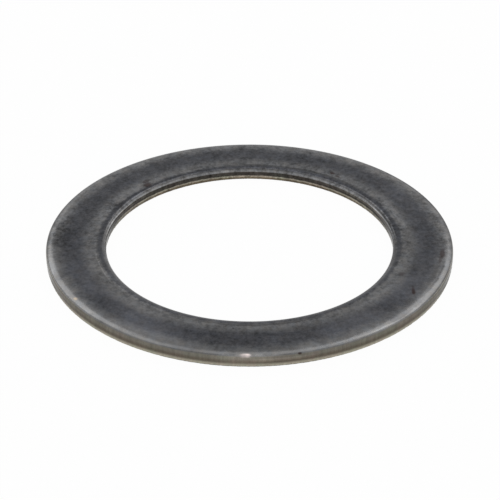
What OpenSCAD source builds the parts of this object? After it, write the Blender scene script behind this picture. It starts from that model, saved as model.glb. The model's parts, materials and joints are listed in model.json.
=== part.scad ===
// Flat ring washer, blanked and pierced from blackened steel sheet in one stroke of a press.
// Where the tools entered, at the top, both edges are rolled over. Below the rolled edge each wall
// has a smooth sheared land, and below the land the sheet tore, so the wall leans back a little.
// The ring lies on its torn side, round the Z axis, with its underside at Z = 0.

/* [Ring] */
// Outside diameter, measured on the sheared land
outer_d = 40; // [36:0.5:60]
// Bore diameter, measured on the sheared land
bore_d = 28.25; // [20:0.05:30]
// Thickness of the sheet
sheet_t = 1.2; // [1.1:0.05:2.5]

/* [Rolled edges] */
// Width of the rolled edge on the outside
rim_roll_w = 1.2; // [0.4:0.1:1.8]
// Drop of the rolled edge on the outside
rim_roll_h = 0.2; // [0.1:0.05:0.4]
// Width of the rolled edge round the bore
bore_roll_w = 0.75; // [0.3:0.05:1]
// Drop of the rolled edge round the bore
bore_roll_h = 0.4; // [0.1:0.05:0.5]

/* [Torn walls] */
// Height of the torn part of both walls, above the underside
tear_h = 0.5; // [0.2:0.05:0.55]
// How far the torn wall has set back at its foot, on the outside
rim_setback = 0.03; // [0:0.01:0.2]
// How far the torn wall has set back at its foot, in the bore
bore_setback = 0.07; // [0:0.01:0.2]
// Radius that tumbling left on the two lower edges
tumble_r = 0.05; // [0.02:0.01:0.15]

/* [Hidden] */
ring_facets = 240;
roll_steps = 20;
tumble_steps = 4;
steel_grey = [0.29, 0.29, 0.31];

// Points on an ellipse's arc about [x, z], w wide and h high, between two angles.
function arc_points(x, z, w, h, from, to, steps) =
    [for (i = [0:steps]) let (a = from + (to - from) * i / steps) [x + w * cos(a), z + h * sin(a)]];

// One edge of the ring from its foot to the top face: tumbled corner, torn wall, land, rolled edge.
// side is 1 on the outside, where the metal lies inwards of the wall, and -1 in the bore.
function edge_outline(wall_r, side, roll_w, roll_h, setback) =
    let (corner_r = wall_r - side * (setback + tumble_r))
    concat(
        arc_points(corner_r, tumble_r, side * tumble_r, tumble_r, -90, 0, tumble_steps),
        [[wall_r, tear_h]],
        arc_points(wall_r - side * roll_w, sheet_t - roll_h, side * roll_w, roll_h, 0, 90, roll_steps)
    );

function reversed(points) = [for (i = [len(points) - 1:-1:0]) points[i]];

// The ring's section, to the right of the axis: up the outside edge and down the bore's.
module section() {
    rim = edge_outline(outer_d / 2, 1, rim_roll_w, rim_roll_h, rim_setback);
    bore = edge_outline(bore_d / 2, -1, bore_roll_w, bore_roll_h, bore_setback);
    polygon(concat(rim, reversed(bore)));
}

module washer() {
    color(steel_grey)
        rotate_extrude($fn = ring_facets)
            section();
}

washer();
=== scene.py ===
import json
import math

import bmesh
import bpy
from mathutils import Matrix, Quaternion, Vector, noise


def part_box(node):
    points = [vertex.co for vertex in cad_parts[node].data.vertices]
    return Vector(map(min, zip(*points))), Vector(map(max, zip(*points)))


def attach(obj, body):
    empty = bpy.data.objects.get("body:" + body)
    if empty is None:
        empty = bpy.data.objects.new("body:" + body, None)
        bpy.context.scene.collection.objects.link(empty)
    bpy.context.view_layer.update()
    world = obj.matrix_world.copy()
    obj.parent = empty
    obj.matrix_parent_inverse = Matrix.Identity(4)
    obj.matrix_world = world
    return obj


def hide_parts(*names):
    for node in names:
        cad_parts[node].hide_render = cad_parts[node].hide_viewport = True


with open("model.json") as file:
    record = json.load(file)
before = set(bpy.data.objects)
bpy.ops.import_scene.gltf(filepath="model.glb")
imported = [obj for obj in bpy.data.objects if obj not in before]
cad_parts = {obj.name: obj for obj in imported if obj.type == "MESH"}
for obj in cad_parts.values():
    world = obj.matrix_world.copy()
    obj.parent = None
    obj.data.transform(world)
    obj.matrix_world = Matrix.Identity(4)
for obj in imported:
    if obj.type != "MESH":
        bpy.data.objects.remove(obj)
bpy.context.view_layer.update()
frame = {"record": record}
scene = bpy.context.scene
scene.view_settings.view_transform = "Standard"

# The camera
# It looks down at the middle of the ring's underside from 168 mm away, as the four outlines of the
# ring in the photograph give it, through a lens that is long enough to fill the frame with the ring.
mm = 0.001
camera_tilt = math.radians(31.66)
camera_distance = 168.0 * mm
focal_length_px = 1697.0
frame_px = 500.0
ring_middle_px = (249.555, 249.15)
sensor_mm = 36.0

lens = bpy.data.cameras.new("studio_camera")
lens.sensor_width = sensor_mm
lens.lens = focal_length_px / frame_px * sensor_mm
lens.shift_x = 0.5 - ring_middle_px[0] / frame_px
lens.shift_y = ring_middle_px[1] / frame_px - 0.5
lens.clip_start = 0.01
camera = bpy.data.objects.new("studio_camera", lens)
scene.collection.objects.link(camera)
camera.location = (0, -camera_distance * math.cos(camera_tilt), camera_distance * math.sin(camera_tilt))
camera.rotation_euler = (math.pi / 2 - camera_tilt, 0, 0)
scene.camera = camera

# The washer
# One ring of 1.2 mm steel sheet, blanked and pierced by one stroke of a compound die, then tumbled,
# blackened and oiled. The tools entered from above: there the edges are rolled over. Below that each
# wall is sheared smooth, and under the sheared land the sheet tore and left a ragged wall.
_, ring_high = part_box("washer")
bore_mount = next(m for m in frame["record"]["mounts"] if m["name"] == "bore")
outer_r = ring_high.x
bore_r = bore_mount["dims"]["r_mm"] * mm
sheet_t = ring_high.z
tear_h = bore_mount["pos_m"][2] - bore_mount["dims"]["length_mm"] * mm / 2
rim_roll = (1.2 * mm, 0.2 * mm)
bore_roll = (0.75 * mm, 0.4 * mm)
rim_setback = 0.03 * mm
bore_setback = 0.07 * mm
tumble_r = 0.05 * mm

# How finely the mesh is cut: steps on each curve, widest rows on walls and flats, steps round the ring.
roll_steps = 15
shoulder_steps = 7
tumble_steps = 3
wall_row = 0.07 * mm
flat_row = 0.9 * mm
turn_steps = 1056
sectors = 12


def arc(x, z, w, h, start, end, steps):
    """Points on an ellipse's arc about (x, z), w wide and h high, between two angles in degrees."""
    turns = [math.radians(start + (end - start) * i / steps) for i in range(steps + 1)]
    return [(x + w * math.cos(a), z + h * math.sin(a)) for a in turns]


def edge_outline(wall_r, side, roll, setback, shoulder, roll_start):
    """An edge's section from its foot to the top face; side is 1 at the rim and -1 in the bore."""
    roll_w, roll_h = roll
    corner_r = wall_r - side * (setback + tumble_r)
    corner = arc(corner_r, tumble_r, side * tumble_r, tumble_r, -90, 0, tumble_steps)
    roll_foot = (wall_r - side * roll_w, sheet_t - roll_h)
    rolled = arc(*roll_foot, side * roll_w, roll_h, roll_start, 90, roll_steps)
    return corner + [(wall_r, tear_h)] + shoulder + rolled


# At the rim the roll runs into the land through a soft shoulder. The two arcs meet at the angles, in
# degrees, where they have one slope.
shoulder_w = 0.084 * mm
shoulder_h = 0.231 * mm
shoulder_foot = (outer_r - shoulder_w, 0.84 * mm)
shoulder_end = 80.35
rim_roll_start = 19.66
rim_shoulder = arc(*shoulder_foot, shoulder_w, shoulder_h, 0, shoulder_end, shoulder_steps)[:-1]

# The outline of the section is spun into one sector of the ring, and the sector into the whole ring.
near = 1e-7
steel = bmesh.new()
rim_outline = edge_outline(outer_r, 1, rim_roll, rim_setback, rim_shoulder, rim_roll_start)
bore_outline = edge_outline(bore_r, -1, bore_roll, bore_setback, [], 0)
outline = [steel.verts.new((r, 0, z)) for r, z in rim_outline + bore_outline[::-1]]
for vert, following in zip(outline, outline[1:] + outline[:1]):
    steel.edges.new((vert, following))
for edge in list(steel.edges):
    level = abs(edge.verts[0].co.z - edge.verts[1].co.z) < near
    cuts = int(edge.calc_length() / (flat_row if level else wall_row))
    if cuts:
        bmesh.ops.subdivide_edges(steel, edges=[edge], cuts=cuts)
bmesh.ops.spin(
    steel, geom=steel.verts[:] + steel.edges[:], cent=(0, 0, 0), axis=(0, 0, 1),
    angle=math.tau / sectors, steps=turn_steps // sectors,
)
bmesh.ops.spin(
    steel, geom=steel.verts[:] + steel.edges[:] + steel.faces[:], cent=(0, 0, 0), axis=(0, 0, 1),
    angle=math.tau * (sectors - 1) / sectors, steps=sectors - 1, use_duplicate=True,
)
bmesh.ops.remove_doubles(steel, verts=steel.verts, dist=near)

# The tear ran at its own height round each wall, and left the wall below it rough and its foot chipped.
# In the bore it runs higher on one side.
tear_wander = 0.05 * mm
tear_relief = 0.035 * mm
tear_lift = 0.035 * mm
tear_lift_turn = math.radians(130)
tear_blend = 0.04 * mm
rough_per_m = 5500
rough_per_m_up = 2400
calm_foot = 0.12 * mm
chip_h = 0.05 * mm
chip_reach = 0.3 * mm
wall_reach = 0.2 * mm
torn_layer = steel.verts.layers.float.new("torn")


def wander(turn, per_turn, seed):
    """Smooth noise round the ring, from -1 to 1, with about per_turn waves a turn."""
    reach = per_turn / math.tau
    return noise.noise(Vector((math.cos(turn) * reach + seed, math.sin(turn) * reach, seed)))


for vert in steel.verts:
    r = math.hypot(vert.co.x, vert.co.y)
    turn = math.atan2(vert.co.y, vert.co.x)
    on_rim = r > (outer_r + bore_r) / 2
    side = 1 if on_rim else -1
    wall_r = outer_r if on_rim else bore_r
    if side * (wall_r - r) > wall_reach:
        continue
    seed = 3.0 if on_rim else 17.0
    line = tear_h + tear_wander * (wander(turn, 60, seed) + 0.8 * wander(turn, 300, seed + 5))
    if not on_rim:
        line += tear_lift * max(0.0, math.cos(turn - tear_lift_turn))
    torn = min(1.0, max(0.0, (line + tear_blend - vert.co.z) / (2 * tear_blend)))
    vert[torn_layer] = torn
    grain = vert.co * rough_per_m
    grain.z = vert.co.z * rough_per_m_up + seed
    rough = noise.noise(grain) + 0.5 * noise.noise(grain * 2.1)
    fade = min(1.0, vert.co.z / calm_foot)
    push = -side * torn * tear_relief * (0.1 + 0.9 * rough) * (0.35 + 0.65 * fade)
    vert.co.x += math.cos(turn) * push
    vert.co.y += math.sin(turn) * push
    if near < vert.co.z < chip_reach:
        chip = max(0.0, wander(turn, 420, seed + 11) + 0.3 * wander(turn, 1100, seed + 13))
        vert.co.z += chip_h * chip * (1 - vert.co.z / chip_reach)
bmesh.ops.recalc_face_normals(steel, faces=steel.faces[:])

ring_mesh = bpy.data.meshes.new("ring")
steel.to_mesh(ring_mesh)
steel.free()
ring_mesh.shade_smooth()
ring = bpy.data.objects.new("ring", ring_mesh)
scene.collection.objects.link(ring)


class Wire:
    """A value in a material. Operators on it add Math nodes, and node() adds any other node."""

    def __init__(self, tree, socket=None):
        self.tree = tree
        self.socket = socket

    def node(self, kind, settings, inputs, output=0):
        """Add a node: its settings first, then its inputs, each a plain value or a Wire."""
        made = self.tree.nodes.new("ShaderNode" + kind)
        for name, setting in settings.items():
            setattr(made, name, setting)
        for name, value in inputs.items():
            if isinstance(value, Wire):
                self.tree.links.new(value.socket, made.inputs[name])
            else:
                made.inputs[name].default_value = value
        return Wire(self.tree, made.outputs[output])

    def maths(self, operation, *values):
        return self.node("Math", {"operation": operation}, dict(enumerate(values)))

    def __add__(self, other):
        return self.maths("ADD", self, other)

    def __sub__(self, other):
        return self.maths("SUBTRACT", self, other)

    def __rsub__(self, other):
        return self.maths("SUBTRACT", other, self)

    def __mul__(self, other):
        return self.maths("MULTIPLY", self, other)

    def __truediv__(self, other):
        return self.maths("DIVIDE", self, other)

    __radd__ = __add__
    __rmul__ = __mul__

    def rise(self, start, end):
        """0 below start, 1 above end and smooth between them; start above end turns it round."""
        settings = {"interpolation_type": "SMOOTHSTEP"}
        flip = start > end
        low, high = sorted((start, end))
        to = {"To Min": 1.0 if flip else 0.0, "To Max": 0.0 if flip else 1.0}
        return self.node("MapRange", settings, {"Value": self, "From Min": low, "From Max": high, **to})

    def grain(self, size, detail=2.0, roughness=0.5, seed=0.0):
        """Noise on this vector, from about -1 to 1, with clouds of about this size."""
        settings = {"noise_dimensions": "4D"}
        inputs = {"Vector": self, "W": seed, "Scale": 1 / size, "Detail": detail, "Roughness": roughness}
        return (self.node("TexNoise", settings, inputs) - 0.5) * 4.0

    def squeeze(self, factors):
        """This vector with its parts multiplied: a pattern on it is drawn out, and a colour is tinted."""
        return self.node("VectorMath", {"operation": "MULTIPLY"}, {0: self, 1: factors})

    def length(self):
        return self.node("VectorMath", {"operation": "LENGTH"}, {0: self}, "Value")

    def mix(self, under, over):
        """The colour under where this mask is 0, and the colour over where it is 1."""
        return self.node("Mix", {"data_type": "RGBA"}, {0: self, 6: under, 7: over}, output=2)

    def shade(self, amount):
        """This colour, made lighter or darker by a factor."""
        return self.node("VectorMath", {"operation": "SCALE"}, {0: self, "Scale": amount})

    def mark(self, azimuth, r, along, across, ragged, height=sheet_t, depth=0.5 * mm, lean=0):
        """A soft oval mask on the ring. Azimuth 0 is the front, in degrees; lengths are half-axes.

        The mask is full within 0.4 of them and gone at 1.3, or sooner where ragged is above 0.
        """
        turn = math.radians(azimuth)
        settings = {"vector_type": "TEXTURE"}
        inputs = {
            "Vector": self, "Location": (r * math.sin(turn), -r * math.cos(turn), height),
            "Rotation": (0, 0, turn + math.radians(lean)), "Scale": (along, across, depth),
        }
        local = self.node("Mapping", settings, inputs)
        return (local.length() + ragged).rise(1.3, 0.4)

    def is_seen(self):
        """1 for light that the camera sees, also by reflection or through a surface, and 0 for the rest."""
        camera_rays = self.node("LightPath", {}, {}, "Is Camera Ray")
        sockets = camera_rays.socket.node.outputs
        glossy = Wire(self.tree, sockets["Is Glossy Ray"])
        through = Wire(self.tree, sockets["Is Transmission Ray"])
        return self.maths("MINIMUM", camera_rays + glossy + through, 1.0)


# The finish is a thin smoky oxide with oil on it, worn lighter where the ring was rubbed. Below the tear
# the walls are bare steel.
blackened = bpy.data.materials.new("blackened_steel")
blackened.use_nodes = True
tree = blackened.node_tree
principled = tree.nodes["Principled BSDF"]

place = Wire(tree).node("TexCoord", {}, {}, "Object")
x, y, z = (place.node("SeparateXYZ", {}, {0: place}, part) for part in "XYZ")
radius = place.squeeze((1, 1, 0)).length()
torn = place.node("Attribute", {"attribute_name": "torn"}, {}, "Fac")
across_ring = x / radius
along_ring = y / radius

# Each mask by azimuth is made once and shared, because a shader can hold only so many values at a time.
facings = {}


def facing(azimuth, spread):
    """A soft mask of the part of the ring that lies within spread of an azimuth, in degrees."""
    if (azimuth, spread) not in facings:
        turn, half = math.radians(azimuth), math.radians(spread)
        towards = across_ring * math.sin(turn) - along_ring * math.cos(turn)
        facings[azimuth, spread] = towards.rise(math.cos(half), math.cos(half * 0.3))
    return facings[azimuth, spread]


# The tints multiply what is under them.
cool_tint = (0.955, 1.0, 1.055, 1)
warm_tint = (1.04, 1.0, 0.95, 1)
green_tint = (0.96, 1.02, 0.95, 1)
rosy_tint = (1.06, 0.97, 0.96, 1)

oxide = (0.0480, 0.0492, 0.0550, 1)
worn_steel = (0.137, 0.136, 0.136, 1)
bare_steel = (0.60, 0.52, 0.50, 1)
land = (0.148, 0.140, 0.122, 1)
land_foot = (0.107, 0.093, 0.076, 1)
# The colour of the painted highlight at the foot of the bore's rolled edge.
bore_highlight_colour = (0.165, 0.165, 0.168, 1)
bore_land = (0.043, 0.039, 0.036, 1)
glint_steel = (0.34, 0.27, 0.19, 1)
tan_steel = (0.34, 0.32, 0.265, 1)
bore_tan = (0.265, 0.245, 0.205, 1)
bore_brown = (0.112, 0.092, 0.066, 1)
tarnish = (0.052, 0.047, 0.041, 1)
rust = (0.024, 0.011, 0.009, 1)

# Noise of several sizes. The strands run up the torn walls.
smoke = place.grain(2.4 * mm, 3.0, 0.6, 2.0)
cloud = place.grain(0.9 * mm, 3.0, 0.65, 3.0)
speck = place.grain(0.40 * mm, 3.0, 0.8, 4.0)
pitting = place.grain(0.42 * mm, 1.0, 0.5, 5.0)
strands = place.squeeze((1, 1, 0.10)).grain(0.30 * mm, 3.0, 0.65, 6.0)

# Soft masks of the ring's regions.
on_top = z.rise(0.7 * mm, 0.85 * mm)
rim_side = radius.rise(16.9 * mm, 17.3 * mm)
bore_side = 1.0 - rim_side
front = y.rise(4 * mm, -8 * mm)
back = y.rise(-4 * mm, 10 * mm)
coarse = 0.8 + y.rise(-6 * mm, 4 * mm) * 0.16
bore_rolled = radius.rise(14.80 * mm, 14.62 * mm)

# The face that it bore on rubbed a track round the bore, and handling wore the rims. The edges of this
# wear wander with the noise.
wavy_radius = radius + smoke * (0.10 * mm) + cloud * (0.08 * mm) + speck * (0.05 * mm)
track = wavy_radius.rise(14.84 * mm, 15.14 * mm) * wavy_radius.rise(16.95 * mm, 15.6 * mm)
rim_wear = wavy_radius.rise(17.9 * mm, 19.5 * mm)
rim_edge = radius.rise(19.3 * mm, 20.0 * mm) * front
bore_radius = radius + cloud * (0.02 * mm) - front * (0.10 * mm)
bore_wear = bore_radius.rise(14.58 * mm, 14.34 * mm) * (1.0 - front * 0.28)
front_wear = radius.rise(15.25 * mm, 15.05 * mm) * front
wear = track * (0.58 + front * 0.09) + rim_wear * 0.80 + rim_edge * 0.40
wear = wear + bore_wear * 0.78 + front_wear * 0.10
wear = wear * on_top * (1.0 + (smoke * 0.14 + cloud * 0.24) * (1.0 - bore_rolled * 0.3))
colour = wear.mix(oxide, worn_steel)
tarnished = (cloud + speck * 0.5).rise(0.25, 1.5) * (0.25 + track * 0.4)
colour = tarnished.mix(colour, tarnish)

# A painted highlight: the foot of the bore's rolled edge is coloured as a bright line. On the left the land
# below it reaches a little higher.
bore_z = z - x.rise(-4.0 * mm, -12.5 * mm) * (0.045 * mm)
painted_bore_highlight = radius.rise(14.34 * mm, 14.26 * mm) * bore_z.rise(0.87 * mm, 0.94 * mm)
colour = painted_bore_highlight.mix(colour, bore_highlight_colour)

# The oxide is smoky: it took darker in some places and lighter in others. Where it is worn it is calmer.
calm = rim_wear * (0.15 + front * 0.65) + track * front * 0.15 + bore_rolled * front * 0.50
tone = 1.0 + smoke * 0.16 + (cloud * 0.46 + speck * 0.68) * coarse * (1.0 - calm)
tone = tone + back * 0.07

# Patches of the face: azimuth in degrees, then the radius and the two half-axes in mm.
for azimuth, r, along, across, change in (
    (0, 18.9, 5.5, 0.4, -0.14),
    (-7, 17.6, 3.3, 1.1, -0.24),
    (-33, 17.6, 4.2, 1.3, 0.56),
    (32, 17.7, 4.2, 1.2, 0.50),
    (60, 17.5, 3.6, 1.1, 0.40),
    (0, 16.6, 5.0, 0.5, -0.17),
    (52, 16.9, 5.0, 0.5, 0.12),
    (-50, 16.9, 6.0, 0.5, 0.20),
    (86, 16.7, 5.0, 0.6, 0.20),
    (-66, 17.4, 3.6, 1.1, 0.38),
    (-92, 18.4, 3.2, 1.4, -0.42),
    (-125, 17.6, 4.0, 0.9, -0.15),
    (-28, 18.5, 4.5, 0.6, 0.30),
    (76, 18.2, 3.4, 0.9, 0.22),
    (116, 17.6, 4.2, 1.0, 0.26),
    (160, 17.4, 4.2, 0.9, -0.20),
    (-170, 18.2, 4.2, 0.9, -0.08),
    (50, 16.1, 4.8, 0.7, 0.26),
    (-42, 16.1, 4.8, 0.7, 0.30),
    (-75, 16.3, 3.0, 0.7, 0.20),
    (88, 16.0, 2.2, 0.7, -0.08),
    (168, 16.0, 4.5, 0.6, -0.14),
    (-135, 15.3, 4.6, 0.4, 0.16),
):
    patch = place.mark(azimuth, r * mm, along * mm, across * mm, smoke * 0.35 + cloud * 0.1)
    tone = tone + patch * change

# Stripes that follow the ring: azimuth and spread in degrees, then the inner and outer radius in mm. On the
# rolled edges they are mostly painted highlights and painted shade; on the face they are the oxide's tone.
stripe_edge = 0.16
stripes_and_sheen = 0.0
for azimuth, spread, inner, outer, change in (
    (160, 40, 14.88, 15.36, -0.48),
    (-113, 12, 14.95, 15.75, 0.18),
    (108, 12, 15.25, 15.95, 0.30),
    (-70, 13, 15.10, 15.36, 0.60),
    (0, 31, 14.95, 15.36, -0.38),
    (0, 31, 14.50, 14.95, 0.24),
    (0, 31, 15.75, 16.60, -0.12),
    (-90, 25, 14.88, 15.25, -0.16),
    (-45, 28, 14.50, 15.36, 0.24),
    (-45, 28, 14.60, 15.10, 0.20),
    (45, 28, 14.50, 14.95, 0.24),
    (45, 28, 14.95, 15.25, -0.14),
    (90, 25, 14.05, 14.60, -0.36),
    (108, 12, 14.15, 14.60, -0.52),
    (68, 13, 14.05, 14.28, -0.35),
    (-70, 13, 14.05, 14.36, 1.10),
    (160, 15, 14.50, 14.95, 0.34),
    (160, 15, 14.05, 14.36, -0.14),
    (-90, 25, 14.05, 14.36, -0.10),
    (-102, 12, 14.36, 14.60, -0.60),
    (-113, 12, 14.36, 14.60, -0.40),
    (180, 38, 14.28, 14.60, -0.12),
    (-135, 20, 14.05, 14.36, 0.32),
    (-124, 12, 14.05, 14.28, 0.20),
    (-113, 12, 14.05, 14.36, -0.14),
    (-135, 30, 14.50, 14.95, -0.18),
    (136, 20, 14.05, 14.36, 0.24),
    (180, 38, 15.25, 16.40, -0.08),
    (90, 25, 18.65, 19.20, -0.14),
    (-45, 28, 18.80, 19.50, 0.12),
    (45, 28, 18.80, 19.50, 0.12),
    (90, 25, 19.20, 19.90, 0.18),
    (-90, 25, 19.20, 19.90, 0.14),
    (0, 9.5, 19.66, 20.40, 0.62),
    (45, 14, 19.50, 20.40, 0.22),
    (45, 14, 19.66, 19.96, 0.16),
    (68, 13, 19.50, 19.96, -0.14),
    (62, 20, 19.88, 20.40, 0.30),
    (-62, 20, 19.66, 20.40, 0.35),
    (68, 13, 19.06, 19.42, -0.34),
    (0, 31, 19.50, 19.96, -0.12),
    (122, 20, 19.66, 20.40, -0.35),
    (136, 20, 19.66, 20.40, -0.20),
):
    stripe = wavy_radius.rise(inner * mm, (inner + stripe_edge) * mm)
    stripe = stripe * wavy_radius.rise(outer * mm, (outer - stripe_edge) * mm)
    stripes_and_sheen = stripe * facing(azimuth, spread) * change + stripes_and_sheen
tone = tone + stripes_and_sheen * (1.0 + (cloud + speck) * bore_side * 0.6)

# A painted highlight: at both sides, a little behind the middle, a thin paler line runs along the rolled
# edge.
side_highlight_band = y.rise(-1 * mm, 3 * mm) * y.rise(15 * mm, 9 * mm)
tone = tone + radius.rise(19.30 * mm, 19.50 * mm) * radius.rise(19.78 * mm, 19.68 * mm) * side_highlight_band * 0.26

# The inner half of the face is pitted.
pits = pitting.rise(0.70, 1.10) * radius.rise(17.4 * mm, 16.6 * mm)
tone = tone * (1.0 - pits * 0.32)
colour = colour.shade(tone)
tint = place.grain(0.75 * mm, 2.0, 0.6, 7.0).rise(-1.5, 1.5).mix(cool_tint, warm_tint)
colour = colour.squeeze(tint)

# The walls
# Under each rolled edge lies a dark sheared land. Below the tear the steel is tan, with a brown foot in
# the bore, and torn_height is the height by which those colours go: ragged, and lifted with the tear.
rim_wall = radius.rise(19.86 * mm, 19.95 * mm) * z.rise(1.12 * mm, 1.02 * mm)
bore_wall = radius.rise(14.30 * mm, 14.2 * mm) * bore_z.rise(0.94 * mm, 0.87 * mm)
front_wall = place.mark(-1, outer_r, 2.8 * mm, 1.0 * mm, smoke * 0.2, height=0.75 * mm, depth=0.7 * mm)
lifted = (y - x).rise(0, 20 * mm) * bore_side * tear_lift
torn_height = z + strands * (0.05 * mm) - lifted
rim_torn = torn * rim_side * torn_height.rise(0.50 * mm, 0.14 * mm)
bore_torn = torn * bore_side * torn_height.rise(0.50 * mm, 0.38 * mm)
walls = (rim_wall * z.rise(0.92 * mm, 0.55 * mm)).mix(land, land_foot)
walls = walls.shade(1.0 + front_wall * 0.40)
walls = bore_wall.mix(walls, bore_land)
walls = rim_torn.mix(walls, tan_steel)
walls = bore_torn.mix(walls, bore_tan)
brown_foot = torn_height.rise(0.33 * mm, 0.22 * mm) * (0.4 + y.rise(6 * mm, 11 * mm) * 0.6)
walls = (bore_torn * brown_foot).mix(walls, bore_brown)

# Bands of the two walls: azimuth and spread in degrees, then the lowest and highest edge in mm. Some are
# painted light: the rim wall at both sides and at its foot in front, and the bore wall's lower parts at
# both sides, are darkened as painted shade, and the top of the bore wall straight behind is brightened as a
# painted highlight.
band_edge = 0.08
wall_tone_and_light = 1.0
for wall_side, azimuth, spread, low, high, change in (
    (rim_side, -76, 15, -0.10, 0.98, -0.42),
    (rim_side, 76, 15, -0.10, 0.98, -0.45),
    (rim_side, 9, 10, 0.52, 0.90, 0.32),
    (rim_side, 0, 31, -0.10, 0.11, -0.80),
    (bore_side, 122, 20, 0.66, 1.00, 0.95),
    (bore_side, 136, 20, 0.66, 1.00, 0.35),
    (bore_side, 108, 12, 0.76, 1.08, 0.90),
    (bore_side, -124, 12, 0.66, 1.08, 0.50),
    (bore_side, 180, 9, 0.84, 1.08, 0.90),
    (bore_side, 108, 12, 0.22, 0.70, -0.60),
    (bore_side, -102, 12, 0.22, 0.76, -0.60),
    (bore_side, 180, 14, 0.10, 0.38, 0.45),
    (bore_side, -124, 12, 0.10, 0.38, -0.25),
):
    band = z.rise(low * mm, (low + band_edge) * mm) * z.rise(high * mm, (high - band_edge) * mm)
    wall_tone_and_light = band * wall_side * facing(azimuth, spread) * change + wall_tone_and_light
walls = walls.shade(wall_tone_and_light)
walls = walls.shade(1.0 + strands * 0.24 + speck * 0.12 + (speck * 0.50 + cloud * 0.35) * bore_wall)
tint = place.grain(1.1 * mm, 2.0, 0.6, 8.0).rise(-1.3, 1.3).mix(green_tint, rosy_tint)
walls = walls.squeeze(tint)

# The underside keeps the oxide of the face.
on_wall = rim_wall.maths("MINIMUM", rim_wall + bore_wall + torn * z.rise(0.0, 0.02 * mm), 1.0)
colour = on_wall.mix(colour, walls)

# Rust spots: azimuth in degrees, the radius and the two half-axes in mm, then the lean in degrees.
ragged_edge = cloud * 0.25 + speck * 0.12
for azimuth, r, along, across, lean, strength in (
    (-135.7, 15.14, 0.52, 0.36, 0, 0.72),
    (-136.6, 15.80, 0.40, 0.30, 0, 0.50),
    (146.7, 15.88, 0.30, 0.20, 0, 0.8),
    (143.5, 15.60, 0.35, 0.18, 0, 0.5),
    (58.4, 18.07, 0.80, 0.22, 32, 0.8),
    (81.6, 18.97, 0.85, 0.27, 0, 0.6),
    (77.8, 18.87, 0.60, 0.24, 0, 0.4),
    (66.1, 15.90, 0.34, 0.26, 0, 0.45),
):
    spot = place.mark(azimuth, r * mm, along * mm, across * mm, ragged_edge, lean=lean)
    colour = (spot * strength).mix(colour, rust)

# On the rolled edge: a yellowish glint at the left, one more rust spot, and a patch that is rubbed bare.
glint = place.mark(-56.6, 19.44 * mm, 0.26 * mm, 0.18 * mm, 0.0)
colour = (glint * 0.50).mix(colour, glint_steel)
edge_spot = place.mark(13.0, 19.90 * mm, 0.20 * mm, 0.14 * mm, 0.0, height=1.08 * mm, depth=0.14 * mm)
colour = (edge_spot * 0.8).mix(colour, rust)
for azimuth, along, across, strength in ((-1.1, 0.62, 0.33, 0.5), (-0.5, 0.30, 0.26, 0.7)):
    bare_patch = place.mark(azimuth, 19.8 * mm, along * mm, across * mm, ragged_edge * 0.6)
    bare_patch = bare_patch * bare_patch * z.rise(0.92 * mm, 1.02 * mm)
    colour = (bare_patch * strength).mix(colour, bare_steel)
tree.links.new(colour.socket, principled.inputs["Base Color"])

# Oiled oxide is smooth, but it never mirrors fully, even at the flattest angle.
grazing_tint = (0.75, 0.75, 0.75, 1)
relief_depth = 0.004 * mm
principled.inputs["Metallic"].default_value = 1.0
principled.inputs["Specular Tint"].default_value = grazing_tint
roughness = 0.15 + cloud * 0.02 + speck * 0.02 + torn * 0.20
tree.links.new(roughness.socket, principled.inputs["Roughness"])
relief = cloud * 0.40 + pitting * 0.12
bump = relief.node("Bump", {}, {"Height": relief, "Strength": 1.0, "Distance": relief_depth})
tree.links.new(bump.socket, principled.inputs["Normal"])
ring_mesh.materials.append(blackened)
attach(ring, "root")
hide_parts("washer")

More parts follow.
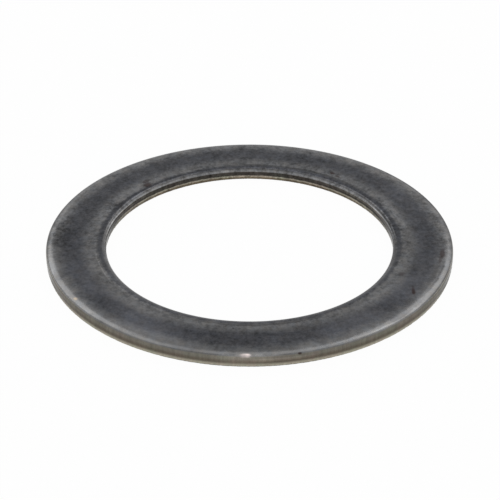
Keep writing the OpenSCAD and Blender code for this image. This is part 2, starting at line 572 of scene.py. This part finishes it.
# The floor
# A sheet of white paper, lit so evenly that it shows as plain white with hardly any shadow. It lies a
# hair's breadth below the ring, so that the two faces never show in one place.
floor_size = 2.0
floor_gap = 0.02 * mm
floor_glow = 0.97
paper_grey = (0.85, 0.85, 0.85, 1)
white = (1, 1, 1, 1)
bpy.ops.mesh.primitive_plane_add(size=floor_size, location=(0, 0, -floor_gap))
floor = bpy.context.object
floor.name = "floor"
paper = bpy.data.materials.new("paper")
paper.use_nodes = True
paper.node_tree.nodes.clear()
sheet = Wire(paper.node_tree)
plain = sheet.node("BsdfDiffuse", {}, {"Color": paper_grey})
glow = sheet.node("Emission", {}, {"Color": white, "Strength": 1.0})
mixed = sheet.node("MixShader", {}, {0: sheet.is_seen() * floor_glow, 1: plain, 2: glow})
final = paper.node_tree.nodes.new("ShaderNodeOutputMaterial")
paper.node_tree.links.new(mixed.socket, final.inputs["Surface"])
floor.data.materials.append(paper)


# The lamps
# Six softboxes stand in an arc behind the ring, where its face and its rolled edges reflect them: three
# at the left and right, a wide one high in the middle, and a wide one low at each side.
softbox_distance = 0.6


def softbox(name, azimuth, elevation, size, radiance, lean=0):
    """An area lamp aimed at the ring. Azimuth 0 is straight behind the ring, and size is in metres."""
    a, e = math.radians(azimuth), math.radians(elevation)
    towards = Vector((math.sin(a) * math.cos(e), math.cos(a) * math.cos(e), math.sin(e)))
    location = towards * softbox_distance
    lamp = bpy.data.lights.new(name, "AREA")
    lamp.shape = "RECTANGLE"
    lamp.size, lamp.size_y = size
    lamp.energy = radiance * math.pi * size[0] * size[1]
    holder = bpy.data.objects.new(name, lamp)
    scene.collection.objects.link(holder)
    holder.location = location
    aim = (-location).to_track_quat("-Z", "Y")
    holder.rotation_euler = (aim @ Quaternion((0, 0, 1), math.radians(lean))).to_euler()
    holder.visible_camera = False


softbox("left_softbox", -22, 37.5, (0.120, 0.195), 1.5, lean=12)
softbox("right_softbox", 19.5, 42, (0.130, 0.165), 1.32)
softbox("low_right_softbox", 23, 32.5, (0.110, 0.090), 0.9)
softbox("middle_softbox", -1, 55, (0.330, 0.150), 0.75)
softbox("side_left_softbox", -52, 17, (0.340, 0.220), 1.2)
softbox("side_right_softbox", 52, 17, (0.340, 0.220), 1.2)

# The studio
# It is plain white wherever it is seen, and it lights the ring a little less than that.
studio_light = 0.75
studio = bpy.data.worlds.new("studio")
studio.use_nodes = True
scene.world = studio
background = studio.node_tree.nodes["Background"]
strength = studio_light + Wire(studio.node_tree).is_seen() * (1.0 - studio_light)
studio.node_tree.links.new(strength.socket, background.inputs["Strength"])
background.inputs["Color"].default_value = white
